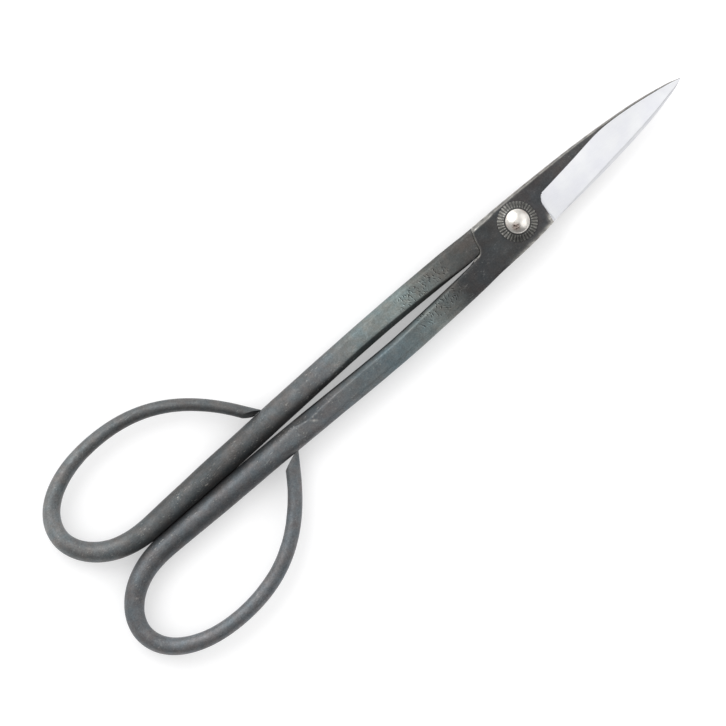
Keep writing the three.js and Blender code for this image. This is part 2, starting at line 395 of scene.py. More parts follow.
def chamfer_width(x, high):
    """Width of the bright chamfer along the plate's and blade's back."""
    planned = float(np.interp(x, BACK_CHAMFER[:, 0], BACK_CHAMFER[:, 1]))
    if x < HEEL_X:
        return planned
    return min(planned, 0.5 * (high - along(GRIND_LINE, x)))


def blank_thickness(x):
    """Thickness of the plate or of the blade's back, thinner where the ground face narrows."""
    share = max(0.0, (x - 9) / (BLADE_REACH - 9))
    tapered = PLATE_TOP + (TIP_THICKNESS - PLATE_TOP) * share
    if x < HEEL_X + 3:
        return tapered
    ground_width = along(GRIND_LINE, x) - along(CUTTING_EDGE, x)
    return min(tapered, EDGE_THICKNESS + STEEPEST_GRIND * ground_width)


def from_shoulder(x, y):
    """Distance from the edge where the plate faces the other half's shoulder."""
    if x > 0:
        return FAR
    if x > FILLET_X and y > FILLET_Y + (x - FILLET_X) * FILLET_Y / FILLET_X:
        return PLATE_ARC - math.hypot(x, y)
    if x > FILLET_X:
        return math.hypot(x - FILLET_X, y - FILLET_Y) - NECK_FILLET
    return plate_span(x)[1] - y


def blank_top(x, y):
    """Height of the plate or blade before grinding: flat, with chamfered edges."""
    low, high = plate_span(x)
    chamfer = chamfer_width(x, high)
    top = blank_thickness(x)
    from_back = along(BLADE_BACK, max(x, BLADE_BACK[0, 0])) - y
    drop = 0.85 * max(0, chamfer - from_back) + 0.12 * max(0, 1.9 * chamfer - from_back)
    drop = max(drop, 0.9 * max(0, 0.35 - from_shoulder(x, y)))
    if x < HEEL_X + 1:
        from_foot = y - low
        drop = max(drop, 0.9 * max(0, FOOT_CHAMFER - from_foot))
    into_neck = float(smoothstep((-x - 12.0 + 0.35 * (y + 1)) / 4.0))
    return top - drop - 0.16 * into_neck


def ground_top(x, y):
    """Height of the ground face: a slope from the grind line to the cutting edge."""
    low, _ = plate_span(x)
    grind = along(GRIND_LINE, x)
    top = blank_thickness(x)
    share = (y - low) / (grind - low)
    slope = EDGE_THICKNESS + (top - EDGE_THICKNESS) * share
    start = along(PLUNGE_TOP, min(y, PLUNGE_TOP[-1, 0]))
    into = float(smoothstep((x - start) / along(PLUNGE_WIDTH, min(y, PLUNGE_WIDTH[-1, 0]))))
    return slope * into + (top + 0.6) * (1 - into)


def plate_tops(columns):
    """Points of the plate's and blade's outer skin, and 1 for each that is ground bright."""
    tops, bright = [], []
    for x in columns:
        for y in plate_rows(x):
            blank = blank_top(x, y)
            ground = ground_top(x, y) if x > GRIND_START_X else PLATE_TOP + 1
            tops.append((x, y, min(blank, ground)))
            bright.append(int(ground < blank))
    return tops, bright


def plate_faces(columns, bright):
    """Faces of the plate and blade, each with whether it is ground bright."""
    count = len(bright)
    rows = count // len(columns)
    last_column = count - rows
    faces = []
    for column, x in enumerate(columns[:-1]):
        foot, back = column * rows, column * rows + rows - 1
        for a in range(foot, back):
            b = a + rows
            outer = (a, b, b + 1, a + 1)
            faces.append((outer, sum(bright[corner] for corner in outer) >= 3))
            faces.append(((a + count, a + 1 + count, b + 1 + count, b + count), True))
        faces.append(((foot, foot + count, foot + rows + count, foot + rows), x > HEEL_X))
        faces.append(((back, back + rows, back + rows + count, back + count), False))
    for a in range(rows - 1):
        faces.append(((a, a + 1, a + 1 + count, a + count), False))
        b = last_column + a
        faces.append(((b, b + count, b + 1 + count, b + 1), True))
    return faces


def plate_shell(hand):
    """Vertices, faces and which faces are ground bright, for the plate and blade."""
    columns = plate_columns()
    tops, bright = plate_tops(columns)
    lows = [(x, y, LAP_CLEARANCE) for x, y, _ in tops]
    verts = np.array(tops + lows)
    verts[:, 1] += hand.shift(verts[:, 0]) * smoothstep((-1 - verts[:, 1]) / 4)
    faces, ground_faces = zip(*plate_faces(columns, bright))
    return verts, faces, ground_faces


# ---- Meshes -------------------------------------------------------------------------


def loft(rings):
    """Vertices and faces of a closed shell through rings, with flat ends."""
    sides = len(rings[0])
    faces = []
    for ring in range(len(rings) - 1):
        for side in range(sides):
            here, following = ring * sides + side, ring * sides + (side + 1) % sides
            faces.append((here, following, following + sides, here + sides))
    faces.append(tuple(reversed(range(sides))))
    last = (len(rings) - 1) * sides
    faces.append(tuple(range(last, last + sides)))
    return np.vstack(rings), faces


def make_object(name, verts, faces, materials, indices=None):
    """An object from points in millimetres about the lap plane, linked to the scene."""
    mesh = bpy.data.meshes.new(name)
    placed = np.array(verts, float) * MM
    mesh.from_pydata(placed.tolist(), [], faces)
    for material in materials:
        mesh.materials.append(material)
    if indices is not None:
        mesh.polygons.foreach_set("material_index", np.array(indices, np.int32))
    mesh.validate()
    obj = bpy.data.objects.new(name, mesh)
    bpy.context.scene.collection.objects.link(obj)
    return obj


def even_turns(sides):
    return np.arange(sides) / sides * 2 * math.pi


def circle(radius, height, sides):
    """Points of a circle about the pivot axis."""
    angles = even_turns(sides)
    return np.column_stack([radius * np.cos(angles), radius * np.sin(angles),
                            np.full(sides, float(height))])


def drum(name, radius, low, high, sides=160):
    """A closed cylinder about the pivot axis, used to cut."""
    rings = [circle(radius, height, sides) for height in (low, high)]
    return make_object(name, *loft(rings), [])


def combine(target, operation, other):
    """Joins or cuts with a second object, which is then gone."""
    modifier = target.modifiers.new("combine", "BOOLEAN")
    modifier.operation = operation
    modifier.solver = "MANIFOLD"
    modifier.object = other
    depsgraph = bpy.context.evaluated_depsgraph_get()
    result = bpy.data.meshes.new_from_object(target.evaluated_get(depsgraph))
    target.modifiers.clear()
    target.data = result
    bpy.data.objects.remove(other)


def finish_surface(obj):
    obj.data.shade_smooth()
    obj.data.set_sharp_from_angle(angle=SHARP_ANGLE)


def place(obj, turned_over=False):
    """Moves a piece from the lap plane's frame into the CAD frame, into its mesh."""
    turn = Euler((math.pi if turned_over else 0, 0, 0)).to_matrix().to_4x4()
    obj.data.transform(Matrix.Translation((0, 0, LAP_HEIGHT * MM)) @ turn)


def shoulder_rounding():
    """Cutter that rounds the corner where the shoulder meets the shank's inner side."""
    radius = NECK_FILLET - SHOULDER_GAP
    middle_y = TOUCHING_Y - radius
    from_pivot = PLATE_ARC + SHOULDER_GAP + radius
    middle_x = -math.sqrt(from_pivot**2 - middle_y**2)
    turns = np.linspace(math.pi / 2, math.asin(-middle_y / from_pivot), 20)
    arc = [(middle_x + radius * math.cos(t), middle_y + radius * math.sin(t)) for t in turns]
    clear = 0.8
    outline = [(arc[0][0], arc[0][1] + clear), *arc, (arc[-1][0] + clear, arc[-1][1]),
               (arc[-1][0] + clear, arc[0][1] + clear)]
    low, high = [np.array([(x, y, z) for x, y in outline])
                 for z in (-2 * PLATE_TOP, LAP_CLEARANCE)]
    return make_object("shoulder_rounding", *loft([low, high]), [])


def band(distance, width):
    """1 on a line, falling away to 0 within about its width."""
    return np.exp(-(distance / width)**2)


def back_wear_and_highlight(x, y, upper):
    """Wear and painted highlight on the chamfer along the plate's and blade's back, brightest on
    its edges.
    """
    from_back = np.where(upper & (x > BACK_CHAMFER[0, 0] - 0.2), along(BLADE_BACK, x) - y, FAR)
    chamfer = along(BACK_CHAMFER, x)
    strength = np.interp(x, [-6, -3, 10], [1.0, 0.8, 0.7])
    on_chamfer = np.where(from_back < chamfer, 0.3, 0)
    lines = np.maximum(band(from_back, 0.2), 0.7 * band(from_back - chamfer, 0.14))
    return strength * np.maximum(on_chamfer, lines)


def shoulder_wear_and_highlight(x, y, upper):
    """A bright line along the plate's edge beside the other half's shoulder: wear and painted
    highlight.
    """
    near = upper & (x < -9) & (x > -16) & (y > NECK_SIDE_Y - 0.5)
    from_edge = [from_shoulder(*point) if is_near else FAR
                 for *point, is_near in zip(x, y, near)]
    strength = np.interp(y, [0.5, 3], [0.7, 1.0])
    return strength * band(np.maximum(np.array(from_edge), 0), 0.3)


def foot_wear(x, y, upper):
    """A soft bright edge along the plate's foot, brightest near the heel."""
    on_foot = upper & (x > -11) & (x < HEEL_X + 1)
    from_foot = np.where(on_foot, y - along(PLATE_FOOT, x), FAR)
    strength = np.interp(x, [-11, -3, 4], [0, 0.7, 1])
    return strength * band(np.maximum(from_foot, 0), 0.6)


def heel_wear(x, y, upper):
    spot = 2.5 * band(x - HEEL_SPOT[0], 0.6) * band(y - HEEL_SPOT[1], 1.2)
    return np.where(upper, np.minimum(1, spot), 0)


def grip_highlight_and_nick(x, y, z, facing):
    """A faint rub and painted highlight along the shank's inner corner, and one nick in the grip.
    """
    on_top = z > 2
    # The corner line is a painted highlight placed by the way the surface faces, partly rub.
    strength = 0.2 * on_top * np.interp(x, [-56, -47, -42, -38], [0, 0.1, 1, 0])
    corner = strength * band(facing - 0.38, 0.2)
    right, up = x - NICK[0], y - NICK[1]
    nick = 0.9 * band(right + 0.9 * up, 0.3) * band(up - 0.5 * right, 0.8)
    return np.maximum(corner, np.where(on_top, nick, 0))


def read_points(mesh, field):
    """Positions or normals of a mesh's points, as columns X, Y and Z."""
    flat = np.zeros(len(mesh.vertices) * 3, np.float32)
    mesh.vertices.foreach_get(field, flat)
    return flat.reshape(-1, 3).T


def store(mesh, name, values):
    layer = mesh.attributes.new(name, "FLOAT", "POINT")
    layer.data.foreach_set("value", values.astype(np.float32))


def edge_line(x, z, facing, hand):
    """1 on the painted dark line along the inner flat's lower edge, and 0 away from it."""
    flat = along(hand.inner_flat, SHANK[0][0] - x)
    above_edge = z - (BAR_SIZES[0, 2] / 2 - flat)
    on_line = np.where(facing > 0.3, band(above_edge, EDGE_LINE_WIDTH), 0)
    return on_line * np.interp(x, EDGE_LINE_X, [0, 1, 1, 0])


def add_painted_shade_and_light(obj, hand):
    """Stores painted shade and light by the side each point faces and its place, and the bow's
    tone.
    """
    x, y, z = read_points(obj.data, "co") / MM
    facing = read_points(obj.data, "normal")[1]
    inner, outer = [np.interp(x, hand.painted_side_lights[:, 0], hand.painted_side_lights[:, k]) for k in (1, 2)]
    is_inner = facing > 0
    # Painted shade and light on the side walls, by the way each point faces, fading out at the
    # bow.
    on_side = np.where(is_inner, smoothstep((facing - 0.2) / 0.5),
                       smoothstep((-facing - 0.12) / 0.25))
    on_side = on_side * smoothstep(y - BOW_TOP_Y - 1)
    side = 1 + (np.where(is_inner, inner, outer) - 1) * on_side
    # A painted dark line along the shank's inner edge, and a lighter tone on the bow.
    painted_edge_line = 1 + (hand.painted_edge_shade - 1) * edge_line(x, z, facing, hand)
    bow = 1 + 0.2 * smoothstep((BOW_TOP_Y - y) / 8)
    # Painted shade on the top beside the shoulder, where the other half's plate meets it.
    painted_crook_shade = np.where(z < 0, np.interp(x, CROOK_X, [0, CROOK_PAINTED_SHADE]), 0)
    store(obj.data, "painted_light_shade_and_tone", side * painted_edge_line * bow * (1 - painted_crook_shade * band(y, CROOK_WIDTH)))


def add_wear_and_highlights(obj, hand):
    """Stores, from 0 to 1, how far the scale is rubbed off at each point, with painted highlights.
    """
    x, y, z = read_points(obj.data, "co") / MM
    facing = read_points(obj.data, "normal")[1]
    upper = z > 0.3
    wear_and_highlight = np.maximum.reduce([
        back_wear_and_highlight(x, y, upper),
        shoulder_wear_and_highlight(x, y, upper),
        foot_wear(x, y - hand.shift(x), upper),
        heel_wear(x, y, upper),
    ])
    if hand is FRONT_HAND:
        wear_and_highlight = np.maximum(wear_and_highlight, grip_highlight_and_nick(x, y, z, facing))
    store(obj.data, "wear_and_highlight", wear_and_highlight)


def make_half(name, hand, materials):
    bar = make_object(name, *bar_shell(hand), materials)
    shoulder = drum("shoulder", PLATE_ARC + SHOULDER_GAP, -2 * PLATE_TOP, LAP_CLEARANCE, 360)
    combine(bar, "DIFFERENCE", shoulder)
    combine(bar, "DIFFERENCE", shoulder_rounding())
    verts, faces, ground = plate_shell(hand)
    combine(bar, "UNION", make_object("plate", verts, faces, materials, ground))
    combine(bar, "DIFFERENCE", drum("bore", BORE_RADIUS, -PLATE_TOP, 2 * PLATE_TOP))
    add_wear_and_highlights(bar, hand)
    add_painted_shade_and_light(bar, hand)
    finish_surface(bar)
    return bar


# ---- Rivet and washers --------------------------------------------------------------


def turned(name, profile, sides, materials):
    """A closed turned piece from (radius, height) points that start and end on the axis."""
    rings = [circle(radius, height, sides) for radius, height in profile]
    return make_object(name, *loft(rings), materials)


def make_rivet(materials):
    head_top = HEAD_TOP - LAP_HEIGHT
    tail_flat = -LAP_HEIGHT
    ball = DOME_RADIUS / math.sin(DOME_SLOPE)
    dome = [(ball * math.sin(t), head_top - ball * (1 - math.cos(t)))
            for t in np.linspace(DOME_SLOPE * 0.97, 0.005, 26)]
    dome = [(DOME_RADIUS, HEAD_SEAT), (DOME_RADIUS, dome[0][1] - 0.12), *dome]
    tail = [(2.25, tail_flat), (2.5, tail_flat + 0.06), (2.75, tail_flat + 0.2),
            (2.88, tail_flat + 0.4), (2.9, -HEAD_SEAT - 0.06), (2.84, -HEAD_SEAT)]
    profile = [(0.02, tail_flat), (1.2, tail_flat), *tail, (RIVET_RADIUS, -HEAD_SEAT),
               (RIVET_RADIUS, HEAD_SEAT), *dome]
    return turned("rivet", profile, 96, materials)


def washer_profile():
    """Radius and height round the washer's section: flat crown, sloping flutes, thin rim."""
    top = WASHER_SEAT + WASHER_THICKNESS
    slope = [(radius, top - 0.75 * ((radius - CROWN_RADIUS) / 2.05)**1.3)
             for radius in np.linspace(CROWN_RADIUS + 0.15, WASHER_RADIUS - 0.12, 18)]
    rim = [(WASHER_RADIUS - 0.02, WASHER_SEAT + 0.36), (WASHER_RADIUS, WASHER_SEAT + 0.25),
           (WASHER_RADIUS, WASHER_SEAT + 0.05), (WASHER_RADIUS - 0.05, WASHER_SEAT)]
    return [(BORE_RADIUS, top), (CROWN_RADIUS, top), *slope, *rim, (BORE_RADIUS, WASHER_SEAT)]


def fluted_ring(radius, height, angles):
    """A ring of the washer, pressed down between the ridges and scalloped at the rim."""
    valley = np.sqrt(0.5 - 0.5 * np.cos(FLUTES * angles))
    pressed = FLUTE_DEPTH * float(smoothstep((radius - CROWN_RADIUS - 0.25) / 0.5))
    pressed = min(pressed, max(0, height - WASHER_SEAT - 0.15))
    scallop = SCALLOP_DEPTH * valley * float(smoothstep((radius - SCALLOP_START) / 0.15))
    reach = radius - scallop
    return np.column_stack([reach * np.cos(angles), reach * np.sin(angles),
                            height - pressed * valley])


def tube_faces(count, sides):
    """Faces of a closed shell through rings whose last ring joins the first."""
    faces = []
    for ring in range(count):
        here, following = ring * sides, (ring + 1) % count * sides
        for side in range(sides):
            beside = (side + 1) % sides
            faces.append((here + side, following + side, following + beside, here + beside))
    return faces


def make_washer(name, materials):
    """A washer pressed with radial flutes round its rim, closed round its bore."""
    sides = FLUTES * 12
    rings = [fluted_ring(radius, height, even_turns(sides))
             for radius, height in washer_profile()]
    washer = make_object(name, np.vstack(rings), tube_faces(len(rings), sides), materials)
    x, y, _ = read_points(washer.data, "co") / MM
    bearing, radius = np.arctan2(y, x), np.hypot(x, y)
    ridge = np.cos(0.5 * FLUTES * bearing)**2 * smoothstep((radius - CROWN_RADIUS - 0.1) / 0.4)
    # The ridges' wear is brightest toward one bearing: a painted highlight where the flutes face
    # the light.
    toward_highlit = np.cos(bearing - HIGHLIT_FLUTE_BEARING)
    wear_and_highlight_share = 0.3 + 0.55 * toward_highlit**2 + 0.2 * toward_highlit
    store(washer.data, "rubbed_and_highlit", ridge * wear_and_highlight_share)
    return washer


# ---- Materials ----------------------------------------------------------------------


def shade(red, green, blue):
    """A node colour from the usual 0 to 255 screen values."""
    channels = [value / 255 for value in (red, green, blue)]
    linear = [c / 12.92 if c <= 0.04045 else ((c + 0.055) / 1.055)**2.4 for c in channels]
    return (*linear, 1.0)


class Shading:
    """One material's nodes. Each method adds a node and gives back its output."""

    def __init__(self, name):
        self.material = bpy.data.materials.new(name)
        self.material.use_nodes = True
        self.tree = self.material.node_tree
        self.surface = self.tree.nodes["Principled BSDF"]
        self.place = self.add("ShaderNodeTexCoord").outputs["Object"]

    def add(self, kind, inputs=None, **settings):
        node = self.tree.nodes.new(kind)
        for name, value in settings.items():
            setattr(node, name, value)
        for key, value in (inputs or {}).items():
            self.give(node.inputs[key], value)
        return node

    def give(self, socket, value):
        if isinstance(value, bpy.types.NodeSocket):
            self.tree.links.new(value, socket)
        else:
            socket.default_value = value

    def set(self, **values):
        for name, value in values.items():
            self.give(self.surface.inputs[name.replace("_", " ")], value)

    def stretched(self, x, y, z, shift=0.0):
        """The object's own coordinates, stretched, and moved so that patterns differ."""
        return self.add("ShaderNodeMapping", {"Vector": self.place, "Scale": (x, y, z),
                                              "Location": (shift, shift, shift)}).outputs[0]

    def noise(self, size, detail=3.0, roughness=0.55, place=None):
        """Noise from 0 to 1 whose features are about `size` millimetres across."""
        inputs = {"Vector": place or self.place, "Scale": 1 / (size * MM), "Detail": detail,
                  "Roughness": roughness}
        return self.add("ShaderNodeTexNoise", inputs).outputs["Fac"]

    def span(self, value, low, high, to_low=0.0, to_high=1.0):
        """A value carried from one range to another, and held inside it."""
        inputs = {0: value, 1: low, 2: high, 3: to_low, 4: to_high}
        return self.add("ShaderNodeMapRange", inputs).outputs[0]

    def math(self, operation, a, b=0.0):
        return self.add("ShaderNodeMath", {0: a, 1: b}, operation=operation).outputs[0]

    def product(self, first, *others):
        for value in others:
            first = self.math("MULTIPLY", first, value)
        return first

    def parts(self, vector):
        """X, Y and Z of a vector, or red, green and blue of a colour."""
        return self.add("ShaderNodeSeparateXYZ", {0: vector}).outputs

    def stored(self, name):
        """A number kept at each point of the mesh."""
        return self.add("ShaderNodeAttribute", attribute_name=name).outputs["Fac"]

    def distance_from(self, value, middle):
        return self.math("ABSOLUTE", self.math("SUBTRACT", value, middle))

    def mix(self, share, a, b):
        """Colour a where share is 0, and colour b where it is 1."""
        node = self.add("ShaderNodeMix", data_type="RGBA")
        for index, value in ((0, share), (6, a), (7, b)):
            self.give(node.inputs[index], value)
        return node.outputs[2]

    def tinted(self, color, red, green, blue):
        return self.add("ShaderNodeVectorMath", {0: color, 1: (red, green, blue)},
                        operation="MULTIPLY").outputs[0]

    def scaled(self, color, value):
        """A colour made lighter or darker by a number."""
        if not isinstance(color, bpy.types.NodeSocket):
            color = color[:3]
        return self.add("ShaderNodeVectorMath", {0: color, "Scale": value},
                        operation="SCALE").outputs[0]

    def ramp(self, value, stops):
        node = self.add("ShaderNodeValToRGB", {0: value})
        elements = node.color_ramp.elements
        elements.remove(elements[1])
        elements[0].position, elements[0].color = stops[0]
        for position, color in stops[1:]:
            elements.new(position).color = color
        return node.outputs["Color"]

    def bump(self, height, strength, distance, after=None):
        inputs = {"Height": height, "Strength": strength, "Distance": distance * MM}
        if after:
            inputs["Normal"] = after
        return self.add("ShaderNodeBump", inputs).outputs[0]


PITTED_SPOT = (-1.5 * MM, -0.9 * MM, HEAD_TOP * MM)
TINT_LOW_X = -152.0
TINT_HIGH_X = 60.0
# The patch of chisel strokes: its ends along X, how soon they fade, and its middle and half
# width on either side of the pivot line.
PATCH_START_X = -40
PATCH_END_X = -22
PATCH_FADE = 2
PATCH_Y = 3.7
PATCH_HALF_WIDTH = 2.2
STROKE_CELL = 0.9


def tint_along(look, stops):
    """Colours that the forging's scale takes along its length, by X in millimetres."""
    share = look.span(look.parts(look.place)[0], TINT_LOW_X * MM, TINT_HIGH_X * MM)
    places = [((at - TINT_LOW_X) / (TINT_HIGH_X - TINT_LOW_X), shade(*color))
              for at, color in stops]
    return look.ramp(share, places)


def scale_tone(look, moved):
    """How much lighter or darker the scale is from place to place, about 1."""
    broad = look.span(look.noise(9, 2, 0.5, moved), 0.3, 0.7, 0.86, 1.14)
    blotch = look.span(look.noise(2.2, 4, 0.65, moved), 0.3, 0.7, 0.86, 1.14)
    grain = look.span(look.noise(0.45, 3, 0.75, moved), 0.3, 0.7, 0.76, 1.24)
    return look.product(broad, blotch, grain)


def bare_and_highlit_share(look, moved, streaked):
    """Where bare steel shows through the scale: worn edges with painted highlights, scuffs and
    fine specks.
    """
    uneven = look.span(look.noise(1.0, 3, 0.65, streaked), 0.32, 0.6, 0.3, 1.0)
    normal = look.add("ShaderNodeNewGeometry").outputs["Normal"]
    level = look.span(look.math("ABSOLUTE", look.parts(normal)[2]), 0.15, 0.45)
    worn_and_highlit = look.product(look.stored("wear_and_highlight"), uneven, level)
    x, _, z = look.parts(look.place)
    ridge = look.span(z, (LAP_HEIGHT + 1.6) * MM, (LAP_HEIGHT + 3.0) * MM, 0.25, 1.0)
    cluster = look.span(look.noise(5, 2, 0.5, moved), 0.42, 0.62)
    speck = look.span(look.noise(0.42, 2, 0.6, streaked), 0.6, 0.7)
    handled = look.span(x, -70 * MM, -35 * MM, 0.42, 0.12)
    return look.math("MAXIMUM", worn_and_highlit, look.product(cluster, speck, ridge, handled))


def stroke_patch(look):
    """1 in the patch of each shank that the chisel strokes fill, and 0 outside it."""
    x, y, _ = look.parts(look.place)
    start = look.span(x, PATCH_START_X * MM, (PATCH_START_X + PATCH_FADE) * MM)
    end = look.span(x, PATCH_END_X * MM, (PATCH_END_X - PATCH_FADE) * MM)
    aside = look.distance_from(look.math("ABSOLUTE", y), PATCH_Y * MM)
    across = look.span(aside, PATCH_HALF_WIDTH * MM, (PATCH_HALF_WIDTH - 0.4) * MM)
    return look.product(start, end, across)


def chisel_strokes(look, moved):
    """Short strokes cut at random in one patch of each shank: depth, and painted shade and
    highlight.
    """
    cells = look.add("ShaderNodeTexVoronoi", {"Vector": moved, "Scale": 1 / (STROKE_CELL * MM)},
                     voronoi_dimensions="2D")
    turn_chance, stroke_chance, _ = look.parts(cells.outputs["Color"])
    from_middle = look.add("ShaderNodeVectorMath", {0: moved, 1: cells.outputs["Position"]},
                           operation="SUBTRACT").outputs[0]
    turned_place = look.add("ShaderNodeVectorRotate", {
        "Vector": from_middle, "Angle": look.span(turn_chance, 0, 1, -2.4, -0.9),
    }, rotation_type="Z_AXIS").outputs[0]
    lengthways, across, _ = look.parts(turned_place)
    stroke = look.product(look.span(look.math("ABSOLUTE", lengthways), 0.42 * MM, 0.25 * MM),
                          look.span(stroke_chance, 0.3, 0.6), stroke_patch(look))
    # Painted shade in each stroke's groove and a painted highlight along one lip.
    core = look.span(look.distance_from(across, 0.0), 0.14 * MM, 0.05 * MM)
    lit_lip = look.span(look.distance_from(across, 0.23 * MM), 0.14 * MM, 0.04 * MM)
    depth, lip_highlight = look.product(stroke, core), look.product(stroke, lit_lip)
    painted_light_and_shade = look.math("SUBTRACT", look.product(lip_highlight, 0.8), look.product(depth, 0.7))
    return depth, look.math("ADD", 1.0, painted_light_and_shade)


def make_forge_scale(name, stops, shift):
    """Black scale, heat tint along the shank, grain, specks, worn edges, painted shade and
    highlights.
    """
    look = Shading(name)
    moved = look.stretched(1, 1, 1, shift)
    streaked = look.stretched(0.5, 1, 1, shift)
    # Painted shade and light on the sides, painted shade on the edge line and by the shoulder, and
    # the bow's tone.
    side = look.stored("painted_light_shade_and_tone")
    color = look.scaled(tint_along(look, stops), look.product(side, scale_tone(look, moved)))
    hue = look.span(look.noise(3.5, 4, 0.65, look.stretched(1, 1, 1, shift + 0.2)), 0.35, 0.65)
    warm, cool = look.tinted(color, 1.08, 0.98, 0.95), look.tinted(color, 0.93, 1.0, 1.05)
    bare_and_highlit = bare_and_highlit_share(look, moved, streaked)
    stroke_depth, stroke_painted_light_and_shade = chisel_strokes(look, moved)
    color = look.scaled(look.mix(hue, warm, cool), stroke_painted_light_and_shade)
    color = look.mix(bare_and_highlit, color, shade(218, 215, 208))

    pits = look.bump(look.noise(0.5, 3, 0.7, moved), 0.35, 0.05)
    hammered = look.bump(look.noise(3.0, 2, 0.5, moved), 0.3, 0.12, pits)
    struck = look.bump(look.math("SUBTRACT", 1.0, stroke_depth), 0.7, 0.2, hammered)
    dull = look.span(look.noise(1.6, 3, 0.6, moved), 0.3, 0.7, 0.48, 0.62)
    roughness = look.math("SUBTRACT", dull, look.product(bare_and_highlit, 0.15))
    # The specular is turned down where the painted shade is darkest, on the painted edge line.
    look.set(Base_Color=color, Roughness=roughness, Metallic=look.span(bare_and_highlit, 0, 1, 0.6, 0.95),
             Specular_IOR_Level=look.span(side, 0.05, 0.25, 0.0, 0.5), Normal=struck)
    return look.material


def make_ground_steel():
    """Bright steel left by the grinding belt, with fine lines along the blade."""
    look = Shading("ground_steel")
    lines = look.stretched(0.04, 1, 1)
    fine = look.noise(0.12, 3, 0.7, lines)
    cloud = look.noise(5, 2, 0.5)
    color = look.mix(look.span(cloud, 0.3, 0.7), shade(228, 229, 234), shade(236, 237, 239))
    color = look.scaled(color, look.span(fine, 0.3, 0.7, 0.94, 1.0))
    look.set(Base_Color=color, Metallic=0.85,
             Roughness=look.span(fine, 0.3, 0.7, 0.34, 0.46),
             Normal=look.bump(fine, 0.12, 0.02))
    return look.material


def make_rivet_steel():
    """Polished steel with dull hammer marks, pitted on one side of the head."""
    look = Shading("rivet_steel")
    marks = look.span(look.noise(1.3, 2, 0.5), 0.52, 0.7, 0.0, 0.6)
    aside = look.add("ShaderNodeVectorMath", {0: look.place, 1: PITTED_SPOT}, operation="DISTANCE")
    near = look.span(aside.outputs["Value"], 1.5 * MM, 0.7 * MM)
    pitted = look.product(near, look.span(look.noise(0.55, 3, 0.6), 0.5, 0.57))
    color = look.mix(marks, shade(240, 236, 230), shade(212, 200, 192))
    color = look.mix(look.product(near, 0.6), color, shade(205, 180, 166))
    color = look.mix(pitted, color, shade(78, 63, 57))
    dents = look.bump(look.noise(2.2, 2, 0.4), 0.4, 0.12)
    dents = look.bump(look.math("SUBTRACT", 1.0, pitted), 0.6, 0.08, dents)
    roughness = look.math("ADD", 0.35, look.product(marks, 0.1))
    look.set(Base_Color=color, Metallic=1.0, Roughness=roughness,
             Normal=look.bump(look.noise(0.3, 3, 0.6), 0.08, 0.02, dents))
    return look.material


def make_washer_steel():
    """Blackened steel, bright where the flutes' ridges are rubbed, with a painted highlight to one
    side.
    """
    look = Shading("washer_steel")
    uneven = look.span(look.noise(1.5, 2, 0.6), 0.35, 0.62, 0.4, 1.0)
    rubbed_and_highlit = look.product(look.stored("rubbed_and_highlit"), uneven)
    grain = look.span(look.noise(0.4, 3, 0.7), 0.3, 0.7, 0.75, 1.25)
    color = look.mix(rubbed_and_highlit, look.scaled(shade(58, 58, 57), grain), shade(240, 238, 232))
    look.set(Base_Color=color, Metallic=look.span(rubbed_and_highlit, 0, 1, 0.4, 0.9), Roughness=0.36,
             Normal=look.bump(look.noise(0.3, 3, 0.6), 0.25, 0.03))
    return look.material


def make_floor_white():
    """A pale matt table that glows a little, so that shadows stay light."""
    look = Shading("floor_white")
    # The glow is dimmer where the table is closed in: painted shade in the gaps and beside the
    # object.
    open_share = look.add("ShaderNodeAmbientOcclusion", {"Distance": 12 * MM}, samples=8)
    glow_with_painted_shade = look.span(open_share.outputs["AO"], 0, 1, 0.28, 0.73)
    look.set(Base_Color=(0.5, 0.5, 0.505, 1), Roughness=0.9, Specular_IOR_Level=0.1,
             Emission_Color=(1, 1, 1, 1), Emission_Strength=glow_with_painted_shade)
    return look.material


FRONT_TINT = [(-150, (107, 110, 112)), (-130, (110, 113, 115)), (-100, (107, 110, 112)),
              (-84, (111, 114, 115)), (-72, (100, 103, 105)), (-62, (99, 104, 105)),
              (-48, (95, 106, 109)), (-34, (116, 124, 122)), (-28, (94, 98, 96)),
              (-22, (60, 60, 60)), (-14, (60, 61, 62)), (-8, (69, 70, 70)),
              (8, (71, 71, 72)), (50, (86, 85, 83))]
REAR_TINT = [(-150, (120, 123, 123)), (-135, (103, 106, 106)), (-118, (91, 93, 93)),
             (-95, (93, 95, 95)), (-80, (106, 108, 108)), (-66, (113, 116, 117)),
             (-56, (133, 141, 140)), (-46, (135, 145, 143)), (-36, (124, 133, 130)),
             (-28, (108, 112, 109)), (-22, (96, 96, 93)), (-12, (86, 85, 83)),
             (8, (71, 71, 72)), (50, (86, 85, 83))]

front_scale = make_forge_scale("front_forge_scale", FRONT_TINT, 0.0)
rear_scale = make_forge_scale("rear_forge_scale", REAR_TINT, 0.37)
ground_steel = make_ground_steel()
rivet_steel = make_rivet_steel()
washer_steel = make_washer_steel()
floor_white = make_floor_white()


# ---- The object ---------------------------------------------------------------------

front_half = make_half("front_half_forging", FRONT_HAND, [front_scale, ground_steel])
rear_half = make_half("rear_half_forging", REAR_HAND, [rear_scale, ground_steel])
rivet = make_rivet([rivet_steel])
front_washer = make_washer("front_fluted_washer", [washer_steel])
rear_washer = make_washer("rear_fluted_washer", [washer_steel])

place(front_half)
place(rear_half, turned_over=True)
place(rivet)
place(front_washer)
place(rear_washer, turned_over=True)
for piece in (rivet, front_washer, rear_washer):
    finish_surface(piece)

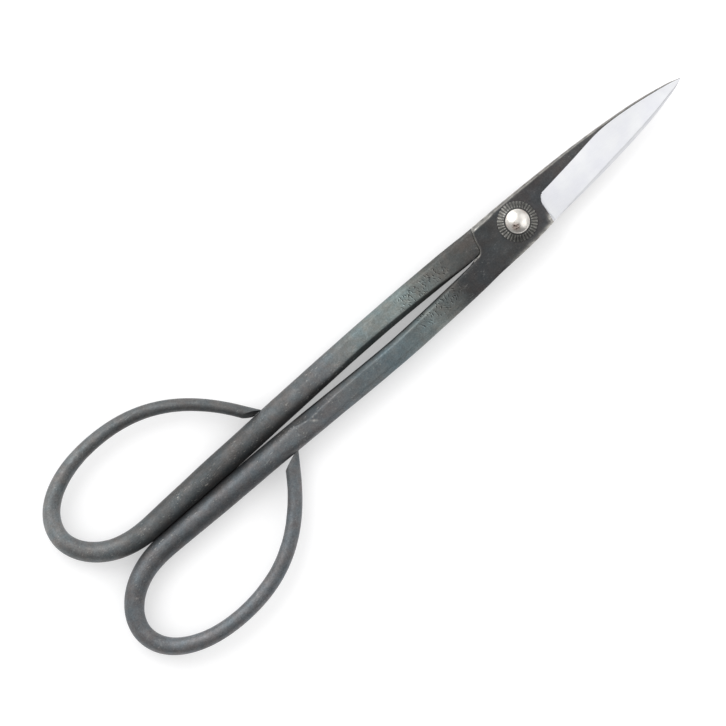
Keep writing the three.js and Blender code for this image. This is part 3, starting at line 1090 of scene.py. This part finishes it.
PIECES = [
    (front_half, "front_half", "front_blade_and_handle", "forged_steel"),
    (rear_half, "rear_half", "rear_blade_and_handle", "forged_steel"),
    (rivet, "front_half", "pivot_rivet", "rivet_steel"),
    (front_washer, "front_half", "front_washer", "washer_steel"),
    (rear_washer, "front_half", "rear_washer", "washer_steel"),
]
for piece, body, node, slot in PIECES:
    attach(piece, body)
    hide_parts(node)


# ---- Floor, light and camera --------------------------------------------------------

VIEW_CENTRE = Vector((-0.05635, -0.00121, LAP_HEIGHT * MM))
VIEW_ROLL = math.radians(-41.3)
VIEW_WIDTH = 0.19604
LENS = 180
SENSOR = 36


def make_floor():
    size = 3.0
    corners = [(-size, -size, 0), (size, -size, 0), (size, size, 0), (-size, size, 0)]
    mesh = bpy.data.meshes.new("floor")
    mesh.from_pydata(corners, [], [(0, 1, 2, 3)])
    mesh.materials.append(floor_white)
    floor = bpy.data.objects.new("floor", mesh)
    bpy.context.scene.collection.objects.link(floor)


def area_light(name, bearing, elevation, distance, size, radiance, target=VIEW_CENTRE):
    """A round softbox that faces the object, as bright as `radiance` in a reflection."""
    data = bpy.data.lights.new(name, "AREA")
    data.shape = "DISK"
    data.size = size
    data.energy = radiance * math.pi * math.pi * (size / 2)**2
    light = bpy.data.objects.new(name, data)
    away = Euler((0, 0, math.radians(bearing))).to_matrix() @ Vector(
        (math.cos(math.radians(elevation)), 0, math.sin(math.radians(elevation))))
    light.location = target + away * distance
    light.rotation_euler = (-away).to_track_quat("-Z", "Y").to_euler()
    light.visible_camera = False
    bpy.context.scene.collection.objects.link(light)


def make_camera():
    data = bpy.data.cameras.new("camera")
    data.lens = LENS
    data.sensor_width = SENSOR
    camera = bpy.data.objects.new("camera", data)
    camera.location = VIEW_CENTRE + Vector((0, 0, VIEW_WIDTH * LENS / SENSOR))
    camera.rotation_euler = (0, 0, VIEW_ROLL)
    bpy.context.scene.collection.objects.link(camera)
    bpy.context.scene.camera = camera


def glow_toward(tree, place, direction, spans):
    """World brightness by how far the look points toward a direction."""
    toward = tree.nodes.new("ShaderNodeVectorMath")
    toward.operation = "DOT_PRODUCT"
    toward.inputs[1].default_value = direction
    tree.links.new(place, toward.inputs[0])
    span = tree.nodes.new("ShaderNodeMapRange")
    tree.links.new(toward.outputs["Value"], span.inputs[0])
    for index, value in enumerate(spans, start=1):
        span.inputs[index].default_value = value
    return span.outputs[0]


def make_world():
    """White studio surround, brighter high up on the spine side and along the horizon."""
    world = bpy.data.worlds.new("studio")
    world.use_nodes = True
    tree = world.node_tree
    place = tree.nodes.new("ShaderNodeTexCoord").outputs["Generated"]
    high_up = glow_toward(tree, place, (0, 0.7, 0.7), (-0.3, 0.75, 0.05, 0.6))
    horizon = glow_toward(tree, place, (0, 0, 1), (0.2, 0.05, 0.0, 0.8))
    both = tree.nodes.new("ShaderNodeMath")
    tree.links.new(high_up, both.inputs[0])
    tree.links.new(horizon, both.inputs[1])
    background = tree.nodes["Background"]
    tree.links.new(both.outputs[0], background.inputs["Strength"])
    background.inputs["Color"].default_value = (1.0, 1.0, 1.0, 1)
    bpy.context.scene.world = world


make_floor()
make_world()
area_light("key", 93, 42, 0.85, 0.85, 2.7)
area_light("blade_fill", -68, 46, 0.24, 0.2, 1.25, Vector((0.033, 0, 0)))
area_light("head_fill", -8, 36, 0.85, 0.75, 0.72)
area_light("top", 0, 90, 1.1, 0.5, 0.35)
make_camera()
bpy.context.scene.view_settings.view_transform = "Standard"
